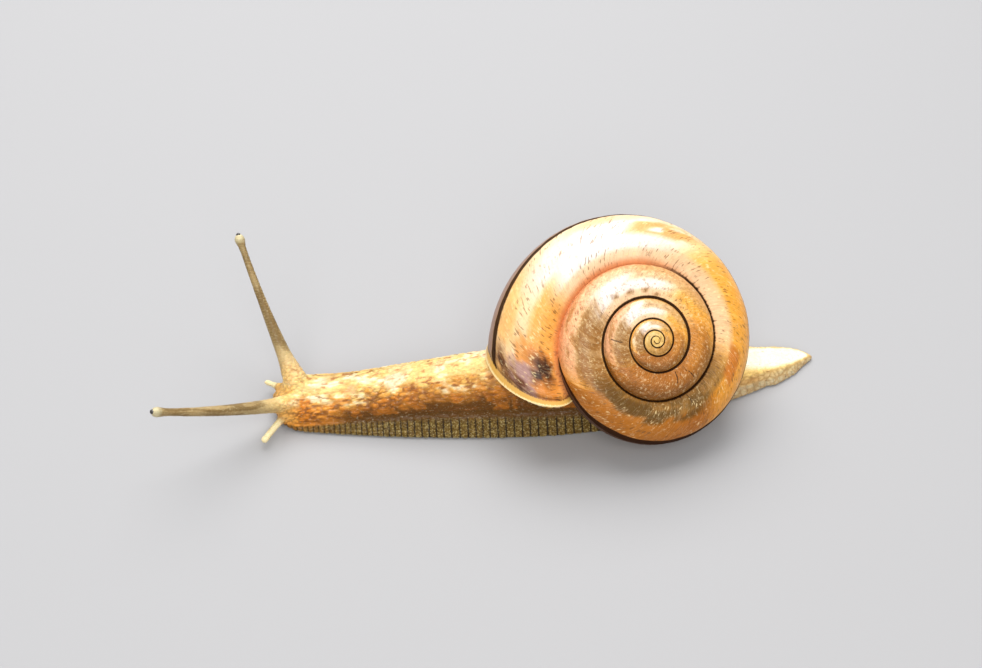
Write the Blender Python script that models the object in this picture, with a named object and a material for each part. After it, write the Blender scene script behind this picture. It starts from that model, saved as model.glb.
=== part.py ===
"""A life-size, left-coiling garden snail of the genus Euhadra, crawling with its feelers out.

Frame: metres, +Z up, the sole flat on Z = 0, the head towards -X and the snail's left side,
where the spire of a left-coiling shell lies, towards -Y. The origin is under the middle of the
whole animal. All lengths below are in millimetres and are turned into metres by mesh_object.
"""
import math

import bmesh
import bpy
import numpy as np
from mathutils import Vector

MM = 0.001
GAP = 0.3                        # clearance between neighbouring solids

# where the modelling axes lie in the finished frame
ORIGIN = np.array([1.57, -12.19, 0.0])

# shell: a logarithmic spiral whose rate tightens slightly towards the apex
SHELL_WIDTH = 37.0
WHORLS = 5.1
SPIRAL_RATE = 0.459              # shrinkage of the whorl radius per turn
SPIRAL_TIGHTENING = 0.043
SPIRE_HEIGHT = 0.55              # periphery below the apex, as a share of the whorl radius
SPIRE_FLATTENING = 0.362
RIM_RADIUS = SHELL_WIDTH / (1 + math.exp(-(SPIRAL_RATE / 2 + SPIRAL_TIGHTENING / 4)))
SUTURE_ANGLE = 118.0             # where a whorl's arc meets the whorl above, from its equator
BASE_DEPTH = 0.42                # lower half of a whorl, as a share of the whorl radius
UMBILICUS_ANGLE = -150.0
APEX = np.array([21.40, -17.63, 16.43])
AXIS_AZIMUTH = 19.3              # the spire points to the snail's left, tilted up and back
AXIS_ELEVATION = 46.6
LIP_TURN = 214.0                 # spiral angle of the lip's upper end
RINGS_PER_WHORL = 36

# mouth of the shell: a slanting plane that the lip lies in, and the fleshy collar inside it
LIP_POINT = np.array([2.9, -21.2, 10.5])
LIP_TILT = np.array([0.155, 0.165, 1.0])
LIP_THICKNESS = 0.9
MOUTH_DEPTH = 2.3
COLLAR_PROUD = 0.8

# body: stations along the middle line of the foot, from the snout to the tail tip
BODY_LENGTH = 77.0
SNOUT = np.array([-29.9, -14.85])
HEADING_FRONT = 1.7              # degrees towards +Y at the head, then the tail swings out
TAIL_SWING = 12.8
HEAD_END = 9.5                   # parting planes between head, neck, foot and tail
NECK_END = 28.0
FOOT_END = 61.0


def station(along, sole, dome, height, skirt):
    """Half widths of the sole and of the back, the back's height and the skirt's height."""
    return dict(along=along, sole=sole, dome=dome, height=height, skirt=skirt)


BODY = [
    station(0.0, 4.1, 3.7, 4.2, 0.9),
    station(4.0, 4.5, 4.0, 4.6, 1.2),
    station(10.0, 5.2, 3.9, 4.9, 1.8),
    station(18.0, 5.9, 4.2, 6.5, 2.6),
    station(30.0, 6.4, 4.6, 9.1, 3.2),
    station(42.0, 6.3, 4.9, 10.4, 3.2),
    station(54.0, 6.0, 4.7, 6.6, 2.7),
    station(64.0, 4.8, 3.7, 3.6, 1.9),
    station(71.0, 3.1, 2.3, 2.2, 1.1),
    station(77.0, 0.9, 0.6, 0.9, 0.4),
]

# feelers: root, tip, sideways bow, and radii at the root, behind the knob and of the knob
UPPER_RIGHT = dict(root=(-26.6, -13.6, 3.5), tip=(-34.6, 0.0, 19.4), bow=(-0.25, 0.0, -0.3),
                   root_r=1.38, tip_r=0.5, knob_r=0.76)
UPPER_LEFT = dict(root=(-27.2, -16.5, 3.2), tip=(-42.9, -26.8, 12.9), bow=(0.0, -0.2, -0.4),
                  root_r=1.15, tip_r=0.52, knob_r=0.72)
LOWER_RIGHT = dict(root=(-28.8, -13.0, 2.2), tip=(-31.7, -11.1, 1.7), bow=(0.0, 0.0, 0.1),
                   root_r=0.52, tip_r=0.42, knob_r=0.48)
LOWER_LEFT = dict(root=(-27.8, -17.2, 2.0), tip=(-30.8, -21.9, 1.2), bow=(0.0, 0.0, 0.15),
                  root_r=0.62, tip_r=0.46, knob_r=0.56)
EYE_RADIUS = 0.42
EYE_GAP = 0.08


# ---------------------------------------------------------------- general helpers
def mesh_object(name, points, faces, colour=None, roughness=0.4):
    """A mesh from points in millimetres, with outward normals and its own material."""
    mesh = bpy.data.meshes.new(name)
    rows = [tuple((np.asarray(p, float) - ORIGIN) * MM) for p in points]
    mesh.from_pydata(rows, [], [tuple(int(i) for i in f) for f in faces])
    bm = bmesh.new()
    bm.from_mesh(mesh)
    bmesh.ops.recalc_face_normals(bm, faces=bm.faces)
    bm.to_mesh(mesh)
    bm.free()
    mesh.shade_smooth()
    mesh.set_sharp_from_angle(angle=math.radians(50))
    obj = bpy.data.objects.new(name, mesh)
    bpy.context.scene.collection.objects.link(obj)
    if colour is None:
        obj.hide_render = True
        obj.display_type = "WIRE"
    else:
        paint(obj, colour, roughness)
    return obj


def paint(obj, colour, roughness):
    material = bpy.data.materials.new(obj.name)
    material.use_nodes = True
    shader = material.node_tree.nodes["Principled BSDF"]
    shader.inputs["Base Color"].default_value = (*colour, 1.0)
    shader.inputs["Roughness"].default_value = roughness
    shader.inputs["Metallic"].default_value = 0.0
    obj.data.materials.append(material)


def combine(obj, other, operation):
    """An exact Boolean, applied at once so that later cuts start from a plain mesh."""
    modifier = obj.modifiers.new(operation.lower(), "BOOLEAN")
    modifier.operation = operation
    modifier.solver = "EXACT"
    modifier.object = other
    apply_modifiers(obj)


def apply_modifiers(obj):
    graph = bpy.context.evaluated_depsgraph_get()
    mesh = bpy.data.meshes.new_from_object(obj.evaluated_get(graph))
    obj.modifiers.clear()
    obj.data = mesh


def loft(rings, fan=True):
    """Closed rings of equal length, joined in order and closed at both ends."""
    count = len(rings[0])
    points = [p for ring in rings for p in ring]
    faces = []
    for i in range(len(rings) - 1):
        for j in range(count):
            k = (j + 1) % count
            faces.append((i * count + j, i * count + k, (i + 1) * count + k, (i + 1) * count + j))
    for first in (0, (len(rings) - 1) * count):
        if not fan:
            faces.append(tuple(range(first, first + count)))
            continue
        points.append(np.mean(points[first:first + count], axis=0))
        centre = len(points) - 1
        faces += [(first + j, first + (j + 1) % count, centre) for j in range(count)]
    return points, faces


# ---------------------------------------------------------------- shell geometry
def whorl_radius(turn):
    return RIM_RADIUS * math.exp(-(SPIRAL_RATE * turn + SPIRAL_TIGHTENING * turn * turn))


def whorl_height(turn):
    """Height of the whorl's equator along the axis, below the apex."""
    return -whorl_radius(turn) * SPIRE_HEIGHT * math.exp(-SPIRE_FLATTENING * turn)


def whorl_point(turn, angle, inset=0.0):
    """Radius and height of the whorl's outer wall at an angle around its section."""
    radius, height = whorl_radius(turn), whorl_height(turn)
    a = math.radians(angle)
    if angle >= 0:
        top = math.radians(SUTURE_ANGLE)
        wide = (radius - whorl_radius(turn + 1)) / (1 - math.cos(top))
        high = (whorl_height(turn + 1) - height) / math.sin(top)
    else:
        wide = high = BASE_DEPTH * radius
    wide_in, high_in = wide - inset, high - inset
    return radius - wide + wide_in * math.cos(a), height + high_in * math.sin(a)


def suture_point(turn, grow=0.0):
    """The seam lies just below the equator of the whorl one turn nearer the apex."""
    r = whorl_radius(turn + 1)
    return 0.995 * r + grow, whorl_height(turn + 1) - 0.03 * r + 0.2 * grow


AXIS = np.array([math.sin(math.radians(AXIS_AZIMUTH)) * math.cos(math.radians(AXIS_ELEVATION)),
                 -math.cos(math.radians(AXIS_AZIMUTH)) * math.cos(math.radians(AXIS_ELEVATION)),
                 math.sin(math.radians(AXIS_ELEVATION))])
ACROSS = np.array([1.0, 0.0, 0.0]) - AXIS * AXIS[0]
ACROSS /= np.linalg.norm(ACROSS)
ALONG = np.cross(AXIS, ACROSS)


def place(turn, r, z):
    spin = math.radians(LIP_TURN) - 2 * math.pi * turn
    return APEX + r * (math.cos(spin) * ACROSS + math.sin(spin) * ALONG) + z * AXIS


def lip_turn(angle, grow=0.0):
    """The turn at which the wall crosses the plane of the lip, at an angle of the section."""
    low, high = -0.14, 0.24
    for _ in range(30):
        turn = (low + high) / 2
        if (place(turn, *whorl_point(turn, angle)) - LIP_POINT) @ LIP_TILT < -grow:
            low = turn
        else:
            high = turn
    return (low + high) / 2


def build_shell(grow=0.0):
    """Growth rings parallel to the lip, each one's lower edge on the seam of a later ring.

    grow swells the whole shell by that much, for a cutter that leaves a clearance.
    """
    upper = [100, 80, 58, 36, 16, 0]
    lower = [-22, -46, -70, -94, -122, UMBILICUS_ANGLE]
    rings = int(RINGS_PER_WHORL * WHORLS)
    lag = {a: lip_turn(a, grow) for a in upper + lower}
    lag_top = lip_turn(SUTURE_ANGLE, grow)
    skip = round((lip_turn(-3, grow) - lag_top) * RINGS_PER_WHORL)
    back = RINGS_PER_WHORL - skip
    points = []

    def add(turn, r, z):
        points.append(place(turn, r, z))
        return len(points) - 1

    def arc(i, angles):
        turns = [i / RINGS_PER_WHORL + lag[a] for a in angles]
        return [add(t, *whorl_point(t, a, -grow)) for t, a in zip(turns, angles)]

    top = [add(i / RINGS_PER_WHORL + lag_top, *suture_point(i / RINGS_PER_WHORL + lag_top, grow))
           for i in range(rings + 1)]
    side = [arc(i, upper) for i in range(rings + 1)]
    base = [arc(i, lower) for i in range(back + 1)]
    tip = add(0, 0.0, grow)
    hollow = add(0, 0.0, whorl_height(0.5) + 0.05 * RIM_RADIUS - grow)
    faces = []

    def strip(a, b):
        for k in range(len(a) - 1):
            corners = (a[k], a[k + 1], b[k + 1], b[k])
            faces.append(tuple(dict.fromkeys(corners)))

    for i in range(rings):
        if i < back:
            strip(side[i] + base[i], side[i + 1] + base[i + 1])
            faces.append((base[i][-1], hollow, base[i + 1][-1]))
        else:
            strip(side[i] + [top[i - back]], side[i + 1] + [top[i + 1 - back]])
        strip([top[i], side[i][0]], [top[i + 1], side[i + 1][0]])
    # the wall across the mouth, from the lip to the whorl before it
    inner = base[back]
    fan = [top[0]] + side[0] + [base[0][0]]
    faces += [(fan[k], fan[k + 1], inner[0]) for k in range(len(fan) - 1)]
    strip(base[0] + [hollow], inner + [hollow])
    faces.append((side[back][-1], top[0], inner[0]))
    # the first whorl's tip closes as a small dome
    ring_back = top[rings - back:]
    faces += [(ring_back[k], ring_back[k + 1], tip) for k in range(len(ring_back) - 1)]
    last = [top[rings]] + side[rings] + [top[rings - back]]
    faces += [(last[k], last[k + 1], tip) for k in range(len(last) - 1)]
    return points, faces


def mouth_tube(inset, reach=0):
    """The room inside the last half whorl, behind the mouth, with its walls set in.

    reach carries it further round the base, towards the umbilicus.
    """
    outer = np.linspace(112, -140 + 10 * inset - reach, 22)
    inner = np.linspace(-120 + 16 * inset - 2 * reach, -20, 5)
    rings = []
    for i in range(26):
        turn = -0.16 + i / 40
        ring = [place(turn, *whorl_point(turn, a, inset)) for a in outer]
        ring += [place(turn, *whorl_point(turn + 1, a, -inset)) for a in inner]
        rings.append(ring)
    return loft(rings, fan=False)


def mouth_slab(low, high):
    """A thick plate parallel to the plane of the lip."""
    normal = LIP_TILT / np.linalg.norm(LIP_TILT)
    u = np.cross(normal, [0.0, 1.0, 0.0])
    u /= np.linalg.norm(u)
    v = np.cross(normal, u)
    corners = [(-1, -1), (1, -1), (1, 1), (-1, 1)]
    centre = LIP_POINT + np.array([10.0, 8.0, -2.8])
    rings = [[centre + 60 * (a * u + b * v) + h * normal for a, b in corners]
             for h in (low, high)]
    return loft(rings)


# ---------------------------------------------------------------- body geometry
def blend(along, key):
    """Smooth interpolation of a body size between its stations."""
    xs = [s["along"] for s in BODY]
    ys = [s[key] for s in BODY]
    along = min(max(along, xs[0]), xs[-1])
    i = max(k for k in range(len(xs) - 1) if xs[k] <= along)
    slopes = [(ys[k + 1] - ys[k]) / (xs[k + 1] - xs[k]) for k in range(len(xs) - 1)]
    ends = [slopes[0]] + [(a + b) / 2 for a, b in zip(slopes, slopes[1:])] + [slopes[-1]]
    h = xs[i + 1] - xs[i]
    t = (along - xs[i]) / h
    return ((2 * t ** 3 - 3 * t ** 2 + 1) * ys[i] + (t ** 3 - 2 * t ** 2 + t) * h * ends[i]
            + (3 * t ** 2 - 2 * t ** 3) * ys[i + 1] + (t ** 3 - t ** 2) * h * ends[i + 1])


def heading(along):
    t = min(max((along - 31.0) / 24.0, 0.0), 1.0)
    return math.radians(HEADING_FRONT + TAIL_SWING * t * t * (3 - 2 * t))


def middle(along):
    """Point on the foot's middle line, by summing its heading."""
    steps = 60
    x = y = 0.0
    for k in range(steps):
        h = heading(along * (k + 0.5) / steps)
        x += math.cos(h) * along / steps
        y += math.sin(h) * along / steps
    return SNOUT + np.array([x, y])


def body_ring(along, grow=0.0):
    """Section of the body: flat sole, flaring skirt, groove above it and rounded back."""
    front = max(1 - max(along, 0.0) / 4.2, 0.0)
    round_off = max(1 - front ** 2.3, 0.0) ** (1 / 2.3)
    close = 0.22 + 0.78 * round_off
    sole = blend(along, "sole") * close + grow
    dome = blend(along, "dome") * close + grow
    height = 1.9 + (blend(along, "height") - 1.9) * (0.1 + 0.9 * round_off) + grow
    if along > 60:
        height = blend(along, "height") + grow
    skirt = min(blend(along, "skirt"), 0.6 * height)
    lift = 0.9 * front ** 2 - grow
    groove = min(0.3, 0.15 * skirt)
    half = [(sole * 0.5, lift), (sole * 0.94, lift), (sole, lift + min(0.28, 0.3 * skirt))]
    half.append(((sole + dome) / 2 + 0.12, lift + 0.55 * skirt))
    half.append((dome + min(0.25, 0.1 * dome), lift + skirt))
    half.append((dome - 0.08, lift + skirt + groove))
    for k in range(1, 7):
        a = math.radians(90 * k / 6)
        y = dome * math.cos(a) ** 0.86
        z = lift + skirt + groove + (height - skirt - groove - lift) * math.sin(a) ** 0.93
        half.append((y if k < 6 else 0.0, z))
    loop = half + [(-y, z) for y, z in half[-2::-1]]
    centre, h = middle(along), heading(along)
    side = np.array([math.sin(h), -math.cos(h)])
    return [np.array([*(centre + y * side), z]) for y, z in loop]


def body_solid(start, end, grow=0.0):
    stops = [start, end]
    fine = [0.35, 1.0, 1.9, 3.0, 4.4]
    stops += [s for s in fine + [6.0 + 2.2 * k for k in range(33)] if start + 0.4 < s < end - 0.4]
    return loft([body_ring(s, grow) for s in sorted(stops)])


def tube(feeler, start, end, sides=10, grow=0.0, knob=False):
    """A length of feeler between two shares of its bowed middle line."""
    root, tip, bow = (np.array(feeler[k], float) for k in ("root", "tip", "bow"))
    total = np.linalg.norm(tip - root)

    def centre(t):
        return root + (tip - root) * t + bow * 4 * t * (1 - t)

    def radius(t):
        r = feeler["tip_r"] + (feeler["root_r"] - feeler["tip_r"]) * (1 - t) ** 1.1
        if knob:
            swell = feeler["knob_r"] - feeler["tip_r"]
            r += swell * math.exp(-((t - 0.965) * total / 0.8) ** 2)
        return r + grow

    stops = list(np.linspace(start, end, max(3, int(round((end - start) * total / 1.6)) + 1)))
    if knob:
        kr = feeler["knob_r"] / total
        body = [t for t in stops if t < 1 - 2.2 * kr]
        stops = body + [1 - 1.6 * kr, 1 - 1.1 * kr, 1 - 0.6 * kr, 1 - 0.22 * kr, 1 - 0.03 * kr]
    rings = []
    for t in stops:
        ahead = centre(min(t + 0.01, 1)) - centre(t - 0.01)
        ahead /= np.linalg.norm(ahead)
        u = np.cross(ahead, [0.0, 0.0, 1.0])
        u /= np.linalg.norm(u)
        v = np.cross(ahead, u)
        r = radius(t)
        if knob:
            near = (1 - t) / kr
            if near < 1:
                r *= math.sqrt(max(1 - (1 - near) ** 2, 0.02))
        rings.append([centre(t) + r * (math.cos(a) * u + math.sin(a) * v)
                      for a in (2 * math.pi * k / sides for k in range(sides))])
    return loft(rings)


def ball(centre, radius, segments=12, rows=8):
    rings = []
    for i in range(1, rows):
        a = math.pi * i / rows
        r, z = radius * math.sin(a), radius * math.cos(a)
        rings.append([np.array(centre) + np.array([r * math.cos(b), r * math.sin(b), z])
                      for b in (2 * math.pi * k / segments for k in range(segments))])
    points, faces = loft(rings)
    points[-2] = np.array(centre) + np.array([0, 0, radius])
    points[-1] = np.array(centre) - np.array([0, 0, radius])
    return points, faces


# ---------------------------------------------------------------- the build
for leftover in list(bpy.data.objects):
    bpy.data.objects.remove(leftover, do_unlink=True)

AMBER = (0.60, 0.30, 0.10)
CREAM = (0.80, 0.58, 0.28)
ORANGE_CREAM = (0.74, 0.42, 0.15)
TAIL_CREAM = (0.80, 0.66, 0.42)
FEELER_TAN = (0.55, 0.42, 0.27)
EYE_DARK = (0.05, 0.04, 0.035)

# shell, hollowed behind its lip
shell = mesh_object("shell", *build_shell(), AMBER, 0.22)
shell_room = mesh_object("shell_clearance", *build_shell(GAP))
recess = mesh_object("mouth_recess", *mouth_tube(LIP_THICKNESS))
combine(recess, mesh_object("recess_slab", *mouth_slab(-COLLAR_PROUD - GAP, MOUTH_DEPTH)),
        "INTERSECT")
combine(shell, recess, "DIFFERENCE")
mouth_room = mesh_object("mouth_clearance", *mouth_tube(-GAP, 14))
combine(mouth_room, mesh_object("clearance_slab", *mouth_slab(-GAP, MOUTH_DEPTH + 2)),
        "INTERSECT")

# mantle collar: the fleshy rim that fills the mouth of the shell
collar = mesh_object("mantle_collar", *mouth_tube(LIP_THICKNESS + GAP), CREAM, 0.3)
combine(collar, mesh_object("collar_slab", *mouth_slab(-COLLAR_PROUD, MOUTH_DEPTH - GAP)),
        "INTERSECT")

# body, parted at thin planes into head, neck, foot and tail
cuts = [("head", 0.0, HEAD_END - GAP / 2, ORANGE_CREAM),
        ("neck", HEAD_END + GAP / 2, NECK_END - GAP / 2, CREAM),
        ("foot", NECK_END + GAP / 2, FOOT_END - GAP / 2, CREAM),
        ("tail", FOOT_END + GAP / 2, BODY_LENGTH, TAIL_CREAM)]
pieces = {}
for name, start, end, colour in cuts:
    piece = mesh_object(name, *body_solid(start, end), colour, 0.3)
    if name != "head":
        combine(piece, shell_room, "DIFFERENCE")
        combine(piece, mouth_room, "DIFFERENCE")
        combine(piece, recess, "DIFFERENCE")
    pieces[name] = piece

# feelers start just clear of the head
head_room = mesh_object("head_clearance", *body_solid(0.0, HEAD_END + 3, GAP))
for side, upper, lower in (("right", UPPER_RIGHT, LOWER_RIGHT), ("left", UPPER_LEFT, LOWER_LEFT)):
    length = np.linalg.norm(np.array(upper["tip"]) - np.array(upper["root"]))
    cut = 0.15 / length
    base = mesh_object("upper_tentacle_" + side + "_base", *tube(upper, 0.0, 0.52 - cut),
                       FEELER_TAN, 0.35)
    combine(base, head_room, "DIFFERENCE")
    end = mesh_object("upper_tentacle_" + side + "_tip",
                      *tube(upper, 0.52 + cut, 1.0, knob=True), FEELER_TAN, 0.35)
    aim = np.array(upper["tip"]) - np.array(upper["root"])
    aim /= np.linalg.norm(aim)
    spot = np.array(upper["tip"]) - aim * 0.22
    combine(end, mesh_object("eye_socket_" + side, *ball(spot, EYE_RADIUS + EYE_GAP)),
            "DIFFERENCE")
    mesh_object("eye_" + side, *ball(spot, EYE_RADIUS), EYE_DARK, 0.15)
    low = mesh_object("lower_tentacle_" + side, *tube(lower, 0.0, 1.0, 8, knob=True),
                      CREAM, 0.35)
    combine(low, head_room, "DIFFERENCE")
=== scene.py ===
"""Looks of the life-size, left-coiling land snail (genus Euhadra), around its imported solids."""
import math

import bmesh
import bpy
import numpy as np
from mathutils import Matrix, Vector


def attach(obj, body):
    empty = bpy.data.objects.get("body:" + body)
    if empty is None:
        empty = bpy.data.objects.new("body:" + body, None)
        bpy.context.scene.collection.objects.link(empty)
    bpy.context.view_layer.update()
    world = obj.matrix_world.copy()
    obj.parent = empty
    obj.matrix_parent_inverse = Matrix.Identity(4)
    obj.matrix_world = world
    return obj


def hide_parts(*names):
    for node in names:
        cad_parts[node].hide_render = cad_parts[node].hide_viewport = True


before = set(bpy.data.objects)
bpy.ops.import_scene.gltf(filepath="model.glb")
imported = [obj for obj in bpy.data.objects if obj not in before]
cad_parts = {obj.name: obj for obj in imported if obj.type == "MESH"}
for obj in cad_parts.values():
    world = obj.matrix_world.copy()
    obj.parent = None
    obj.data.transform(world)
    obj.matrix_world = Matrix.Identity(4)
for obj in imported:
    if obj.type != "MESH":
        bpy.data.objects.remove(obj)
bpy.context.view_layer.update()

MM = 0.001
ORIGIN = np.array([1.57, -12.19, 0.0])      # the modelling axes, in millimetres, in the frame
SCENE = bpy.context.scene


# ======== numbers and noise
def smooth(x, low, high):
    """0 below low, 1 above high, smooth between; low may be the larger."""
    t = np.clip((np.asarray(x, float) - low) / (high - low), 0.0, 1.0)
    return t * t * (3 - 2 * t)


def below(x, low, high):
    """1 below low, 0 above high, smooth between."""
    return 1 - smooth(x, low, high)


def window(x, a, b, soft):
    """1 between a and b, fading to 0 over soft outside them."""
    return smooth(x, a - soft, a) * below(x, b, b + soft)


def bell(x, centre, width):
    return np.exp(-((np.asarray(x, float) - centre) / width) ** 2)


def chance(cells, seed):
    """A repeatable number in 0..1 for each row of whole numbers."""
    h = np.full(cells.shape[0], seed * 7919 + 12345, np.uint64)
    for k, prime in zip(range(cells.shape[1]), (374761393, 668265263, 2147483647)):
        h = (h ^ (cells[:, k].astype(np.int64) + 100000).astype(np.uint64)) * np.uint64(prime)
        h ^= h >> np.uint64(13)
        h = (h * np.uint64(1274126177)) & np.uint64(0xFFFFFFFFFFFF)
        h ^= h >> np.uint64(16)
    return (h & np.uint64(0xFFFFF)).astype(float) / 0xFFFFF


def noise(points, seed):
    """Smooth value noise in 0..1 at rows of coordinates, one lattice cell per unit."""
    p = np.atleast_2d(np.asarray(points, float))
    base = np.floor(p)
    f = p - base
    f = f * f * (3 - 2 * f)
    total = np.zeros(len(p))
    dims = p.shape[1]
    for corner in range(2 ** dims):
        bits = np.array([(corner >> k) & 1 for k in range(dims)])
        weight = np.prod(np.where(bits, f, 1 - f), axis=1)
        total += weight * chance(base + bits, seed)
    return total


def fbm(points, seed, octaves=3):
    p = np.atleast_2d(np.asarray(points, float))
    total, share = np.zeros(len(p)), 0.0
    for k in range(octaves):
        total += noise(p * 2.03 ** k + 17.3 * k, seed + k) * 0.5 ** k
        share += 0.5 ** k
    return total / share


def cells(points, seed, jitter=0.9):
    """Voronoi cells: distance to the nearest cell border, and a random number for each cell."""
    p = np.asarray(points, float)
    base = np.floor(p)
    first = np.full(len(p), 9.0)
    second = np.full(len(p), 9.0)
    who = np.zeros(len(p))
    for dx in (-1, 0, 1):
        for dy in (-1, 0, 1):
            for dz in (-1, 0, 1):
                cell = base + (dx, dy, dz)
                spot = cell + 0.5 + jitter * (np.stack(
                    [chance(cell, seed + k) for k in range(3)], 1) - 0.5)
                d = np.linalg.norm(p - spot, axis=1)
                nearer = d < first
                second = np.where(nearer, first, np.minimum(second, d))
                who = np.where(nearer, chance(cell, seed + 9), who)
                first = np.where(nearer, d, first)
    return second - first, who


def linear(colour):
    c = np.asarray(colour, float) / 255
    return np.where(c <= 0.04045, c / 12.92, ((c + 0.055) / 1.055) ** 2.4)


def lay(under, colour, amount):
    """Lays a colour, in 0..255, over rows of colours by an amount for each row."""
    a = np.clip(amount, 0, 1)[:, None]
    return under * (1 - a) + np.asarray(colour, float) * a


# ======== the shell's form
SHELL_WIDTH, WHORLS = 37.0, 5.1
SPIRAL_RATE, SPIRAL_TIGHTENING = 0.459, 0.043
SPIRE_HEIGHT, SPIRE_FLATTENING = 0.55, 0.362
RIM_RADIUS = SHELL_WIDTH / (1 + math.exp(-(SPIRAL_RATE / 2 + SPIRAL_TIGHTENING / 4)))
SUTURE_ANGLE, BASE_DEPTH, UMBILICUS_ANGLE = 118.0, 0.42, -150.0
APEX = np.array([21.4, -17.63, 16.43])
AXIS_AZIMUTH, AXIS_ELEVATION = math.radians(19.3), math.radians(46.6)
LIP_TURN = math.radians(214.0)
LIP_POINT = np.array([2.9, -21.2, 10.5])
LIP_TILT = np.array([0.155, 0.165, 1.0])
MOUTH_START, MOUTH_TURNS = -0.16, 0.625
# the mouth's room, the collar in it and the hole cut for the collar: the wall left round each,
# and how far it reaches from the lip's plane, outwards and inwards
RECESS_WALL, RECESS_REACH = 0.62, (-1.6, 2.3)
COLLAR_WALL, COLLAR_REACH = 0.7, (-0.8, 2.6)
HOLE_WALL, HOLE_REACH = 0.66, (-2.2, 2.5)
AXIS = np.array([math.sin(AXIS_AZIMUTH) * math.cos(AXIS_ELEVATION),
                 -math.cos(AXIS_AZIMUTH) * math.cos(AXIS_ELEVATION), math.sin(AXIS_ELEVATION)])
ACROSS = np.array([1.0, 0.0, 0.0]) - AXIS * AXIS[0]
ACROSS /= np.linalg.norm(ACROSS)
ALONG = np.cross(AXIS, ACROSS)


def whorl_radius(turn):
    return RIM_RADIUS * np.exp(-(SPIRAL_RATE * turn + SPIRAL_TIGHTENING * turn * turn))


def whorl_height(turn):
    return -whorl_radius(turn) * SPIRE_HEIGHT * np.exp(-SPIRE_FLATTENING * turn)


def whorl_point(turn, angle, inset=0.0):
    """Radius and height of the whorl's outer wall at an angle around its section."""
    turn, angle = np.broadcast_arrays(np.asarray(turn, float), np.asarray(angle, float))
    radius, height = whorl_radius(turn), whorl_height(turn)
    a, top = np.radians(angle), math.radians(SUTURE_ANGLE)
    up = angle >= 0
    wide = np.where(up, (radius - whorl_radius(turn + 1)) / (1 - math.cos(top)),
                    BASE_DEPTH * radius)
    high = np.where(up, (whorl_height(turn + 1) - height) / math.sin(top), BASE_DEPTH * radius)
    return (radius - wide + (wide - inset) * np.cos(a), height + (high - inset) * np.sin(a))


def suture_point(turn, grow=0.0):
    r = whorl_radius(turn + 1)
    return 0.995 * r + grow, whorl_height(turn + 1) - 0.03 * r + 0.2 * grow


def place(turn, r, z):
    spin = (LIP_TURN - 2 * math.pi * np.asarray(turn, float))[..., None]
    r, z = np.asarray(r, float)[..., None], np.asarray(z, float)[..., None]
    return APEX + r * (np.cos(spin) * ACROSS + np.sin(spin) * ALONG) + z * AXIS


def lip_turn(angle, grow=0.0):
    """The turn at which the wall crosses the plane of the lip, at an angle of the section."""
    low, high = -0.14, 0.24
    for _ in range(40):
        turn = (low + high) / 2
        if (place(turn, *whorl_point(turn, angle)) - LIP_POINT) @ LIP_TILT < -grow:
            low = turn
        else:
            high = turn
    return (low + high) / 2


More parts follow.
